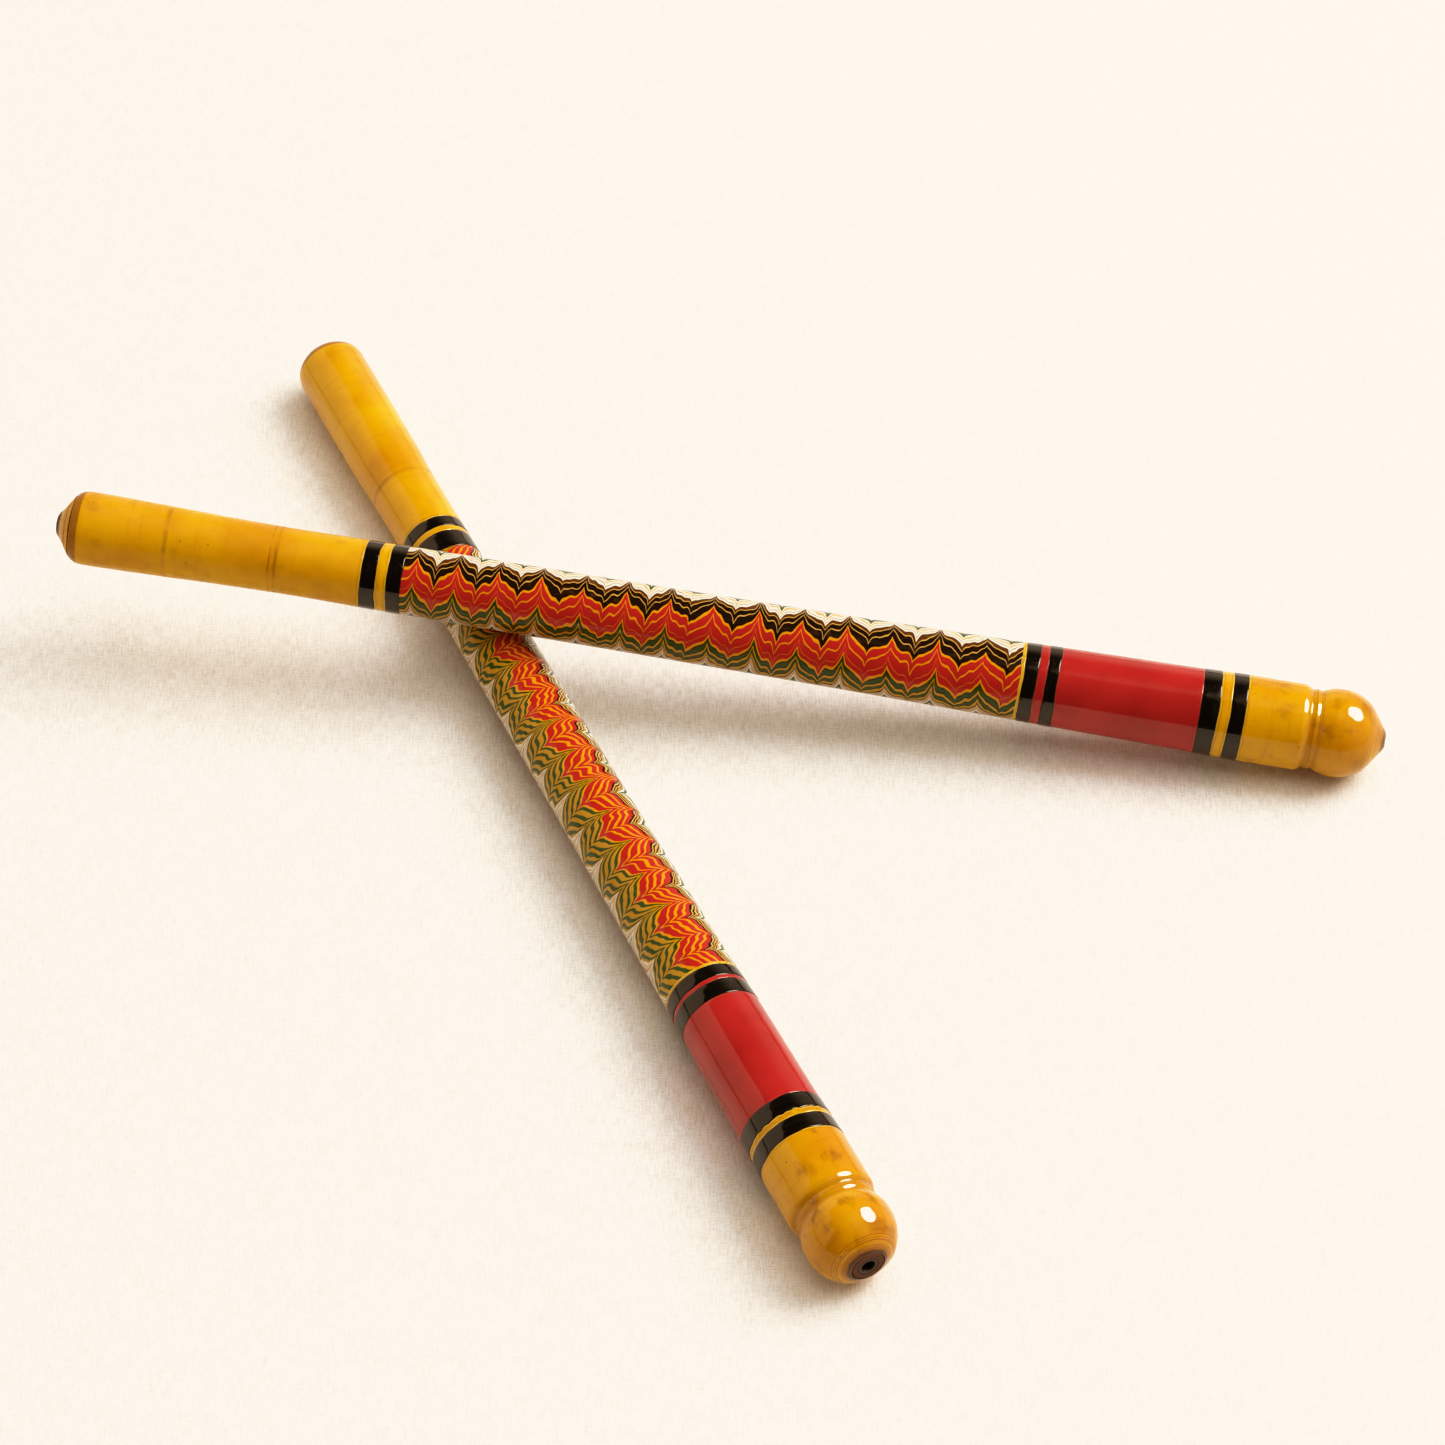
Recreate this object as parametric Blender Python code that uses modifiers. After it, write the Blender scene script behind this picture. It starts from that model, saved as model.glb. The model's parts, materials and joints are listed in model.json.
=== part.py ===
"""A pair of lac-turned wooden dance sticks, the upper one lying across the lower one.

Each stick is one piece of turned wood with a ball knob at one end and a nub at the other. Its
coloured lac lies on the wood in separate bands. Places along a stick are distances from the tail
edge of its lac, towards the knob, in millimetres. They become metres when a mesh is made.
The lower stick lies on its tail shoulder and its ball. The upper stick leans on the lower one
and stands on its ball.
"""

import math
from dataclasses import dataclass

import bpy

MM = 0.001
SIDES = 24
WELD_DISTANCE = 0.05 * MM
SHARP_ANGLE = math.radians(35)

PIECE_GAP = 0.3
LAC_THICKNESS = 0.8
RING_PROUD = 0.1
CORE_DEPTH = LAC_THICKNESS + PIECE_GAP

# Tail: a cone of bare wood that ends in the nub where the stick was parted from its blank.
NUB_END = -7.2
NUB_RADIUS = 2.9
TAIL_CONE = [(-5.2, 5.3), (-3.6, 7.7), (-2.2, 9.4)]
LAC_START = -1.9
SHOULDER = 2.0

# Knob: collar, neck groove, a small bead, then a ball that ends in a flat tip.
COLLAR_END = 368.6
NECK = [(369.8, 12.6), (371.3, 11.75), (372.6, 12.05), (373.9, 11.75)]
BALL_CENTRE = 380.2
BALL_RADIUS = 13.25
BALL_HALF_LENGTH = 13.4
BALL_STEPS = 8
CENTRE_HOLE_DEPTH = 8.0

# Colours are linear red, green and blue, then roughness.
MATERIALS = {
    "wood": ((0.42, 0.27, 0.13), 0.55),
    "yellow_lac": ((0.78, 0.42, 0.01), 0.16),
    "black_lac": ((0.010, 0.008, 0.008), 0.14),
    "red_lac": ((0.50, 0.025, 0.022), 0.14),
    "marbled_lac": ((0.80, 0.38, 0.03), 0.16),
}


@dataclass(frozen=True)
class Stick:
    """The sizes in which the two hand-made sticks differ."""

    name: str
    heading: float         # degrees from +X, seen from above, of the way from tail to knob
    crossing: float        # place along the stick where the other one crosses it
    body: tuple            # (place, radius) points of the lac surface from shoulder to collar
    rings: tuple           # (start, end) of the six black rings, from the tail
    hairline: float        # start of the thin yellow line beside the third ring
    ball_slant: float      # degrees off the axis at which the ball turns into the tip cone
    tip: tuple             # place and radius of the flat tip
    hole_radius: float     # blind hole of the lathe centre, in the tip


UPPER = Stick(
    name="upper",
    heading=-8.9,
    crossing=125.7,
    body=((SHOULDER, 11.1), (27, 10.7), (45, 10.25), (67, 10.0), (99, 10.3), (150, 10.55),
          (205, 10.85), (250, 11.3), (285, 11.75), (298, 12.05), (338, 12.6), (352, 12.95)),
    rings=((86.6, 91.2), (94.6, 99.0), (285.6, 289.7), (292.4, 296.0), (338.6, 343.9),
           (347.4, 351.8)),
    hairline=284.6,
    ball_slant=51.0,
    tip=(394.4, 2.6),
    hole_radius=1.3,
)
LOWER = Stick(
    name="lower",
    heading=-65.4,
    crossing=134.65,
    body=((SHOULDER, 11.0), (27, 10.95), (45, 10.85), (67, 10.3), (99, 10.3), (150, 10.55),
          (205, 10.85), (250, 11.3), (285, 11.7), (298, 12.1), (338, 12.6), (352, 12.95)),
    rings=((86.0, 90.4), (92.6, 100.0), (286.4, 290.9), (292.3, 297.9), (338.0, 343.8),
           (345.9, 351.4)),
    hairline=285.4,
    ball_slant=46.5,
    tip=(392.2, 4.7),
    hole_radius=2.0,
)

# The point above which the two axes cross, measured from the middle of the pair's floor plan.
CROSSING_X = -66.85
CROSSING_Y = 52.97
RESTING_GAP = 0.35     # between the sticks, measured straight up at the crossing


def ball_radius(place):
    across = (place - BALL_CENTRE) / BALL_HALF_LENGTH
    return BALL_RADIUS * math.sqrt(1 - across * across)


def skin(stick):
    """The outer line of the lac, as (place, radius) points from the tail to the tip."""
    shoulder_radius = stick.body[0][1]
    points = [(LAC_START, shoulder_radius - 1.2), (-0.9, shoulder_radius - 0.55),
              (0.2, shoulder_radius - 0.15)]
    points += stick.body
    points.append((COLLAR_END, stick.body[-1][1]))
    points += NECK
    ball_start = math.acos((NECK[-1][0] + 1.0 - BALL_CENTRE) / BALL_HALF_LENGTH)
    ball_end = math.radians(stick.ball_slant)
    for step in range(BALL_STEPS):
        turn = ball_start + (ball_end - ball_start) * step / (BALL_STEPS - 1)
        place = BALL_CENTRE + BALL_HALF_LENGTH * math.cos(turn)
        points.append((place, ball_radius(place)))
    points.append(stick.tip)
    return points


def radius_at(outline, place):
    """Radius of an outline at a place, on the straight line between its points."""
    for (x0, r0), (x1, r1) in zip(outline, outline[1:]):
        if x0 <= place <= x1:
            return r0 + (r1 - r0) * (place - x0) / (x1 - x0)
    raise ValueError(f"{place} is outside the outline")


def stretch(outline, start, end):
    """The part of an outline between two places, with its cut ends."""
    inside = [point for point in outline if start < point[0] < end]
    return [(start, radius_at(outline, start)), *inside, (end, radius_at(outline, end))]


def make_material(name):
    colour, roughness = MATERIALS[name]
    material = bpy.data.materials.new(name)
    material.use_nodes = True
    shader = material.node_tree.nodes["Principled BSDF"]
    shader.inputs["Base Color"].default_value = (*colour, 1)
    shader.inputs["Roughness"].default_value = roughness
    shader.inputs["Metallic"].default_value = 0
    material.diffuse_color = (*colour, 1)
    return material


def turn_piece(name, profile, closed, material, parent, collection):
    """Turn (place, radius) points, from the knob end down the outer side, about the stick."""
    mesh = bpy.data.meshes.new(name)
    corners = [(radius * MM, 0, place * MM) for place, radius in profile]
    edges = [(index, index + 1) for index in range(len(corners) - 1)]
    if closed:
        edges.append((len(corners) - 1, 0))
    mesh.from_pydata(corners, edges, [])
    mesh.materials.append(material)
    piece = bpy.data.objects.new(name, mesh)
    collection.objects.link(piece)
    piece.parent = parent
    screw = piece.modifiers.new("turned", "SCREW")
    screw.steps = SIDES
    screw.render_steps = SIDES
    screw.use_merge_vertices = True
    screw.merge_threshold = WELD_DISTANCE


def sleeve_profile(outline, start, end, proud=0.0):
    """A closed band of lac between two places, with half a gap left at each end."""
    band = stretch(outline, start + PIECE_GAP / 2, end - PIECE_GAP / 2)
    outer = [(place, radius + proud) for place, radius in reversed(band)]
    inner = [(place, radius - LAC_THICKNESS) for place, radius in band]
    return outer + inner


def knob_lac_profile(outline, stick):
    """The knob's lac, which stops around the bare wood of the tip."""
    tip_place, tip_radius = stick.tip
    rim_radius = tip_radius + PIECE_GAP
    cone_place, cone_radius = outline[-2]
    run_per_radius = (tip_place - cone_place) / (cone_radius - tip_radius)
    rim_place = tip_place - PIECE_GAP * run_per_radius
    inner_rim_place = rim_place - LAC_THICKNESS * run_per_radius
    start = stick.rings[-1][1] + PIECE_GAP / 2
    outer = stretch(outline, start, rim_place)
    inner = [(place, radius - LAC_THICKNESS) for place, radius in outer
             if place < min(cone_place + 0.01, inner_rim_place)]
    return [*reversed(outer), *inner, (inner_rim_place, rim_radius)]


def core_profile(outline, stick):
    """The wood: a blind centre hole, the flat tip, the covered body and the bare tail."""
    tip_place, tip_radius = stick.tip
    hole_floor = tip_place - CENTRE_HOLE_DEPTH
    cone_place, cone_radius = outline[-2]
    run_per_radius = (tip_place - cone_place) / (cone_radius - tip_radius)
    stub_place = tip_place - CORE_DEPTH * run_per_radius
    covered = [(place, radius - CORE_DEPTH) for place, radius in outline if place < stub_place]
    step_under_lac = (TAIL_CONE[-1][0], covered[0][1])
    tail = [(NUB_END, NUB_RADIUS), *TAIL_CONE, step_under_lac]
    return [(hole_floor, 0), (hole_floor, stick.hole_radius), (tip_place, stick.hole_radius),
            (tip_place, tip_radius), (stub_place, tip_radius),
            *reversed(covered), *reversed(tail), (NUB_END, 0)]


def place_sticks():
    """Pitch and tail-edge height of each stick, from what it rests on."""
    lower_skin = skin(LOWER)
    upper_skin = skin(UPPER)
    shoulder_radius = LOWER.body[0][1]
    lower_pitch = math.asin((BALL_RADIUS - shoulder_radius) / (BALL_CENTRE - SHOULDER))
    lower_height = shoulder_radius - SHOULDER * math.sin(lower_pitch)
    top_of_lower = (lower_height + LOWER.crossing * math.sin(lower_pitch)
                    + radius_at(lower_skin, LOWER.crossing))
    upper_crossing_height = top_of_lower + RESTING_GAP + radius_at(upper_skin, UPPER.crossing)
    upper_run = BALL_CENTRE - UPPER.crossing
    upper_pitch = -math.asin((upper_crossing_height - BALL_RADIUS) / upper_run)
    upper_height = upper_crossing_height - UPPER.crossing * math.sin(upper_pitch)
    return {"lower": (lower_pitch, lower_height), "upper": (upper_pitch, upper_height)}


def stick_axis(stick, pitch, height, collection):
    """An empty at the tail edge whose Z runs along the stick and whose X points down."""
    axis = bpy.data.objects.new(f"{stick.name}_axis", None)
    collection.objects.link(axis)
    heading = math.radians(stick.heading)
    plan_run = stick.crossing * math.cos(pitch)
    axis.location = ((CROSSING_X - plan_run * math.cos(heading)) * MM,
                     (CROSSING_Y - plan_run * math.sin(heading)) * MM,
                     height * MM)
    axis.rotation_euler = (0, math.pi / 2 - pitch, heading)
    return axis


def build_stick(stick, pitch, height, materials, collection):
    outline = skin(stick)
    axis = stick_axis(stick, pitch, height, collection)
    rings = stick.rings

    def sleeve(piece, start, end, material, proud=0.0):
        turn_piece(f"{stick.name}_{piece}", sleeve_profile(outline, start, end, proud), True,
                   materials[material], axis, collection)

    turn_piece(f"{stick.name}_wood_core", core_profile(outline, stick), False,
               materials["wood"], axis, collection)
    sleeve("handle_lac", LAC_START - PIECE_GAP / 2, rings[0][0], "yellow_lac")
    for number, (start, end) in enumerate(rings, 1):
        sleeve(f"black_ring_{number}", start, end, "black_lac", RING_PROUD)
    sleeve("tail_yellow_band", rings[0][1], rings[1][0], "yellow_lac")
    sleeve("marbled_sleeve", rings[1][1], stick.hairline, "marbled_lac")
    sleeve("hairline_band", stick.hairline, rings[2][0], "yellow_lac")
    sleeve("narrow_red_band", rings[2][1], rings[3][0], "red_lac")
    sleeve("wide_red_band", rings[3][1], rings[4][0], "red_lac")
    sleeve("knob_yellow_band", rings[4][1], rings[5][0], "yellow_lac")
    turn_piece(f"{stick.name}_knob_lac", knob_lac_profile(outline, stick), True,
               materials["yellow_lac"], axis, collection)


def shade_round_pieces(collection):
    """Turn each Screw modifier into its mesh, smooth round the stick and sharp at its corners."""
    bpy.context.view_layer.update()
    depsgraph = bpy.context.evaluated_depsgraph_get()
    for piece in [item for item in collection.objects if item.type == "MESH"]:
        turned = bpy.data.meshes.new_from_object(piece.evaluated_get(depsgraph))
        turned.name = piece.name
        turned.shade_smooth()
        turned.set_sharp_from_angle(angle=SHARP_ANGLE)
        piece.modifiers.clear()
        piece.data = turned


def build():
    for old in list(bpy.data.objects):
        bpy.data.objects.remove(old, do_unlink=True)
    collection = bpy.data.collections.new("dance_sticks")
    bpy.context.scene.collection.children.link(collection)
    materials = {name: make_material(name) for name in MATERIALS}
    placing = place_sticks()
    for stick in (LOWER, UPPER):
        build_stick(stick, *placing[stick.name], materials, collection)
    shade_round_pieces(collection)


build()
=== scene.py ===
"""Looks of a pair of lac-turned wooden dance sticks, the upper one lying across the lower one.

Every piece stands for one CAD node and is turned again, much finer, about its stick's own axis.
Places along a stick are distances in millimetres from the tail edge of its lac, towards the knob.
A piece's mesh keeps its stick's own axes: Z runs from tail to knob and X points up, so that the
materials can use the place along the stick and the angle round it.
"""

import json
import math

import bpy
import numpy as np
from mathutils import Matrix, Vector


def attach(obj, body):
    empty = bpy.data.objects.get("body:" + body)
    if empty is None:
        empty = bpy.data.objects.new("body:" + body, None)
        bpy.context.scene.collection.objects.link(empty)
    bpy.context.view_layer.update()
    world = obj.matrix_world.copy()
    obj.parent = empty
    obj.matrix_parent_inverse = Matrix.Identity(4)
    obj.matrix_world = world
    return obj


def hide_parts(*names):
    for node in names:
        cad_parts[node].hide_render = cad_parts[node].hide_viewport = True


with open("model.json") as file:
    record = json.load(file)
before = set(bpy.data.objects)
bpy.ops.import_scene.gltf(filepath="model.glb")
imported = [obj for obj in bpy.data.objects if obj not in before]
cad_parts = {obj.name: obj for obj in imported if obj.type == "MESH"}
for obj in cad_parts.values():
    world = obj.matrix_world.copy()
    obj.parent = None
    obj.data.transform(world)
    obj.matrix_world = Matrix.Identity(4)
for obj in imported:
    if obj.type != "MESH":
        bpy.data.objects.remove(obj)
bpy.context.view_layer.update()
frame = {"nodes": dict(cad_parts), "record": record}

MM = 0.001
SIDES = 192
TURN = 2 * math.pi

NUB_LENGTH = 7.2          # from the tail edge of the lac back to the flat end of the nub
LAC_DEPTH = 0.8           # thickness of the lac
CORNER = 0.25             # radius of a band's rounded edge
EDGE_DROP = 0.45          # how much of the corner's roundness shows as a dip
EDGE_WAVE = 0.11          # how far a band's hand-cut edge strays
RAGGED_WAVE = 0.10        # the same, at each of the quick waves of a ragged edge
RIPPLE_FADE = 4.0         # how far from an edge its wave is still felt
STEP = 1.2                # length of a facet along the stick
KNOB_STEP = 0.28          # the same, round the neck, ball and cone
NECK_START = 369.8        # the neck is scorched brown
NECK_END = 375.0
BALL_RING_START = 385.0   # a ring smoked brown, where the ball turns into a cone
BALL_RING_END = 388.6
MOUTH_START = 0.35        # depths in the tip's hole between which it narrows and fades into painted shade
MOUTH_END = 0.9

# Colours are linear red, green and blue.
YELLOW = (0.655, 0.350, 0.0010)
YELLOW_DEEP = (0.50, 0.207, 0.0010)
YELLOW_BRIGHT = (0.74, 0.41, 0.012)
YELLOW_STREAK = (0.40, 0.135, 0.002)
BURN = (0.22, 0.072, 0.0015)
SMOKE = (0.20, 0.072, 0.004)
CHAR = (0.050, 0.016, 0.007)
# A painted highlight: the thin pale line along the rounded cut ends of the yellow bands.
EDGE_HIGHLIGHT_PAINTED = (0.64, 0.46, 0.08)
SPECK = (0.035, 0.012, 0.002)
CRUMB = (0.17, 0.065, 0.007)
CRIMSON = (0.385, 0.0235, 0.0270)
CRIMSON_DEEP = (0.300, 0.0160, 0.0190)
CRIMSON_STREAK = (0.42, 0.035, 0.032)
# A painted highlight: the thin pale pink line along the rounded cut ends of the red bands.
CRIMSON_EDGE_HIGHLIGHT = (0.44, 0.085, 0.065)
SCUFF = (0.60, 0.25, 0.20)
BLACK = (0.0032, 0.0026, 0.0024)
SOOT = (0.010, 0.008, 0.007)
DUST = (0.17, 0.14, 0.11)
WOOD_FIBRE = (0.10, 0.05, 0.02)
PORE = (0.008, 0.005, 0.004)
# Painted shade: near-black on the walls and floor deep in the tip's hole.
HOLE_PAINTED_SHADE = (0.004, 0.003, 0.003)
CLOTH = (0.905, 0.897, 0.890)
CLOTH_THREAD = (0.66, 0.63, 0.58)

INK = {
    "cream": (0.66, 0.61, 0.50),
    "pink": (0.47, 0.32, 0.225),
    "straw": (0.52, 0.31, 0.08),
    "amber": (0.66, 0.260, 0.003),
    "ochre": (0.47, 0.235, 0.010),
    "green": (0.022, 0.062, 0.007),
    "pine": (0.008, 0.016, 0.003),
    "red": (0.400, 0.0210, 0.0210),
    "rose": (0.56, 0.150, 0.025),
    "brown": (0.075, 0.028, 0.008),
    "soot": (0.012, 0.006, 0.003),
}

# Bare wood from the end of the nub to the lac, as (share of the way, colour). The pale cream stop
# at 0.34 is a painted highlight on one of the cone's rings.
TAIL_BANDS_END = -1.6
TAIL_BANDS_AND_HIGHLIGHT = [
    (0.00, (0.030, 0.022, 0.018)), (0.08, (0.045, 0.030, 0.022)),
    (0.14, (0.10, 0.045, 0.018)), (0.22, (0.30, 0.16, 0.06)),
    (0.34, (0.66, 0.45, 0.22)), (0.44, (0.52, 0.27, 0.05)),
    (0.54, (0.60, 0.29, 0.03)), (0.62, (0.16, 0.055, 0.008)),
    (0.66, (0.55, 0.26, 0.03)), (0.84, (0.58, 0.28, 0.02)),
    (0.90, (0.10, 0.035, 0.006)), (1.00, (0.12, 0.045, 0.008)),
]
# End grain of the tip, from its hole to its rim, likewise.
TIP_RINGS = [
    (0.00, (0.010, 0.007, 0.006)), (0.08, (0.090, 0.060, 0.045)),
    (0.24, (0.050, 0.030, 0.022)), (0.36, (0.020, 0.010, 0.007)),
    (0.60, (0.095, 0.036, 0.020)), (0.85, (0.060, 0.020, 0.010)),
    (1.00, (0.16, 0.055, 0.012)),
]

# The marbling's stripes across half a turn, as (start in millimetres, colour).
UPPER_STRIPES = [
    (0.0, "pink"), (1.0, "straw"), (1.4, "pink"), (2.5, "pine"), (3.1, "ochre"), (4.4, "pine"),
    (4.8, "green"), (6.0, "pine"), (6.3, "ochre"), (7.2, "pine"), (7.6, "green"), (9.1, "pine"),
    (9.5, "amber"), (10.4, "red"), (12.3, "rose"), (12.6, "red"), (15.5, "amber"),
    (16.1, "red"), (18.5, "amber"), (19.4, "soot"), (21.9, "straw"), (22.35, "soot"),
    (24.3, "straw"), (24.75, "brown"), (26.3, "cream"), (27.4, "brown"), (27.75, "cream"),
    (28.9, "straw"), (29.7, "cream"), (30.7, "brown"), (31.0, "green"), (33.2, "cream"),
]
LOWER_STRIPES = [
    (0.0, "ochre"), (0.6, "pink"), (1.5, "brown"), (1.7, "cream"), (2.4, "straw"),
    (2.9, "cream"), (3.9, "ochre"), (4.7, "green"), (6.0, "ochre"), (7.3, "green"),
    (9.1, "ochre"), (10.8, "green"),
    (12.2, "ochre"), (13.8, "green"), (15.0, "amber"), (15.9, "red"),
    (18.1, "amber"), (18.8, "red"), (20.5, "amber"), (21.6, "red"), (23.3, "amber"),
    (24.1, "red"), (25.7, "soot"), (26.5, "straw"), (27.0, "soot"), (27.6, "straw"),
    (28.1, "soot"), (28.6, "straw"), (29.2, "brown"), (29.5, "cream"), (30.3, "green"),
    (31.6, "cream"),
]
STRIPE_PERIOD = 34.5      # the stripes' span, which is half a turn
STRIPE_START = 16.0       # the place in that span which lies at a stick's facing angle
PULL_FALL = 1.20          # how far beside a tine its drag is felt, one way round
PUSH_FALL = 1.05          # the same, the other way round
TINE_LUCK = (0.78, 1.28)  # weakest and strongest drag of a tine, as a share of the usual one
DRIFT = 1.6               # how far the tines wander from even spacing
RIPPLE = 2.0              # how far the stripes wander round the stick, by the place along it
GRAIN = 0.7               # the same, in small flecks
SWIRL = 3.2               # the same, in wide swirls

STICKS = {
    "lower": {
        "stripes": LOWER_STRIPES,
        "facing": math.radians(21),
        "first_tine": 153.75,
        "tine_spacing": 13.33,
        "tine_slowing": 0.0,
        "pull": 5.4,
        "pull_bias": 0.36,
        "push": 3.6,
        "burns": [(63.0, 1.0)],
        "handle_smoke": 0.18,
        "handle_wear": (0.04, 0.10),
        "handle_mirror": 0.32,
        "knob_smoke": 0.80,
        "ragged": "black_ring_5",
        "seed": 11,
    },
    "upper": {
        "stripes": UPPER_STRIPES,
        "facing": math.radians(43),
        "first_tine": 102.5,
        "tine_spacing": 12.4,
        "tine_slowing": 2.7e-5,
        "pull": 4.7,
        "pull_bias": 0.06,
        "push": 3.3,
        "burns": [(27.0, 1.0), (59.0, 0.5), (60.8, 0.9)],
        "handle_smoke": 0.32,
        "handle_wear": (0.24, 0.42),
        "handle_mirror": 0.20,
        "knob_smoke": 0.55,
        "ragged": "",
        "seed": 7,
    },
}

SLOTS = {
    "handle_lac": "yellow_lac",
    "tail_yellow_band": "yellow_lac",
    "hairline_band": "yellow_lac",
    "knob_yellow_band": "yellow_lac",
    "knob_lac": "yellow_lac",
    "marbled_sleeve": "marbled_lac",
    "narrow_red_band": "red_lac",
    "wide_red_band": "red_lac",
}

# The stage. Headings are degrees about Z from +X: where a glow starts, is full, and ends.
FLOOR_SIZE = 6.0
FLOOR_CELLS = 12
KEY_DIRECTION = Vector((0.656, 0.262, 0.708))
FILL_DIRECTION = Vector((0.30, 0.15, 0.94))
PANEL_HEADINGS = (116.0, 118.0, 214.0, 216.0)
BACKDROP_HEADINGS = (50.0, 75.0, 117.0, 119.0)
RIGHT_HEADINGS = (-75.0, -40.0, 40.0, 75.0)
PANEL_GLOW = 1.25
BACKDROP_GLOW = 1.0
RIGHT_GLOW = 0.70
ROOM_GLOW = 0.03
ROOM_COLOUR = (1.0, 0.93, 0.84, 1)

CAMERA_LENS = 121.93
CAMERA_PLACE = Vector((0.00158, -0.96925, 1.08071))
CAMERA_AIM = Vector((0.00158, 0.03116, 0.0))
CAMERA_ROLL = -0.0037

# The film's curves, as (light, how bright it shows): a body for each channel, then one shoulder.
WHITE = (0.985, 0.935, 0.865)         # the cream that the brightest cloth reaches
FILM_TOP = 1.4
FILM_SHOULDER = [(0.85, 0.83), (1.05, 0.95), (1.20, 0.985)]
FILM_BODY = [
    [(0.03, 0.025), (0.10, 0.096), (0.30, 0.30), (0.60, 0.61)],
    [(0.04, 0.026), (0.14, 0.116), (0.30, 0.272), (0.49, 0.468), (0.69, 0.69)],
    [(0.036, 0.016), (0.10, 0.064), (0.24, 0.19), (0.335, 0.272), (0.43, 0.384), (0.61, 0.61)],
]


# ---------------------------------------------------------------- the sticks' own axes and skin

def stick_matrix(stick):
    """Axes of a stick: origin at the tail edge of its lac, Z towards the knob and X up."""
    mounts = {mount["name"]: mount for mount in frame["record"]["mounts"]}
    tail = Vector(mounts[f"{stick}_tail_end"]["pos_m"])
    along = -Vector(mounts[f"{stick}_tail_end"]["axis"]).normalized()
    up = (Vector((0, 0, 1)) - along * along.z).normalized()
    side = along.cross(up)
    turned = Matrix((up, side, along)).transposed().to_4x4()
    return Matrix.Translation(tail + along * NUB_LENGTH * MM) @ turned


def outer_line(node, to_stick):
    """(place, radius) points of a CAD node's outward faces, in order along the stick."""
    found = {}
    mesh = node.data
    for face in mesh.polygons:
        centre = to_stick @ face.center
        normal = to_stick.to_3x3() @ face.normal
        if normal.x * centre.x + normal.y * centre.y < 0.05 * math.hypot(centre.x, centre.y):
            continue
        for index in face.vertices:
            corner = to_stick @ mesh.vertices[index].co / MM
            place = round(corner.z, 2)
            found[place] = max(found.get(place, 0), math.hypot(corner.x, corner.y))
    return sorted(found.items())


def smooth_line(points):
    """A curve through (place, radius) points that doesn't overshoot them."""
    x = np.array([place for place, _ in points])
    y = np.array([radius for _, radius in points])
    run = np.diff(x)
    slope = np.diff(y) / run
    tangent = np.empty_like(x)
    tangent[0], tangent[-1] = slope[0], slope[-1]
    for i in range(1, len(x) - 1):
        if slope[i - 1] * slope[i] <= 0:
            tangent[i] = 0
        else:
            before, after = 2 * run[i] + run[i - 1], run[i] + 2 * run[i - 1]
            tangent[i] = (before + after) / (before / slope[i - 1] + after / slope[i])

    def curve(place):
        place = np.clip(place, x[0], x[-1])
        i = np.clip(np.searchsorted(x, place) - 1, 0, len(x) - 2)
        t = (place - x[i]) / run[i]
        return ((1 + 2 * t) * (1 - t) ** 2 * y[i] + t * (1 - t) ** 2 * run[i] * tangent[i]
                + t * t * (3 - 2 * t) * y[i + 1] + t * t * (t - 1) * run[i] * tangent[i + 1])

    return curve


def straight_edge(angle):
    """An edge that doesn't stray."""
    return np.zeros_like(angle)


def wavy_edge(rng, ragged):
    """A hand-cut edge: how far it strays along the stick at each angle round it."""
    waves = [(k, rng.normal(0, EDGE_WAVE / math.sqrt(k)), rng.uniform(0, TURN))
             for k in (1, 2, 3, 5, 8, 13)]
    if ragged:
        waves += [(k, RAGGED_WAVE, rng.uniform(0, TURN)) for k in (17, 23, 31)]
    return lambda angle: sum(a * np.cos(k * angle + phase) for k, a, phase in waves)


# ---------------------------------------------------------------- meshes

def turned_mesh(name, rows, cap_start=False, cap_end=False, closed=False):
    """A lathe mesh. Each row is (place, radius), with one number for all sides or one for each.

    The attribute rim is each corner's distance, in millimetres, from the nearer end.
    """
    angle = np.arange(SIDES) * TURN / SIDES
    places = np.array([place + 0 * angle for place, _ in rows])
    points = np.concatenate([
        np.stack([radius * np.cos(angle), radius * np.sin(angle), place], axis=1)
        for place, (_, radius) in zip(places, rows)]) * MM
    count = len(rows)
    faces = []
    last = count if closed else count - 1
    for row in range(last):
        here, there = row * SIDES, (row + 1) % count * SIDES
        for side in range(SIDES):
            after = (side + 1) % SIDES
            faces.append((here + side, here + after, there + after, there + side))
    extra = []
    for wanted, row, forward in ((cap_start, 0, False), (cap_end, count - 1, True)):
        if wanted:
            centre = len(points) + len(extra)
            extra.append(points[row * SIDES:(row + 1) * SIDES].mean(axis=0))
            ring = [row * SIDES + side for side in range(SIDES)]
            for a, b in zip(ring, ring[1:] + ring[:1]):
                faces.append((a, b, centre) if forward else (b, a, centre))
    if extra:
        points = np.concatenate([points, np.array(extra)])
    mesh = bpy.data.meshes.new(name)
    mesh.from_pydata(points.tolist(), [], faces)
    rim = np.minimum(places - places.min(axis=0), places.max(axis=0) - places).ravel()
    attribute = mesh.attributes.new("rim", "FLOAT", "POINT")
    attribute.data.foreach_set("value", np.pad(rim, (0, len(extra))).astype(np.float32))
    mesh.update()
    mesh.shade_smooth()
    return mesh


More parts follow.
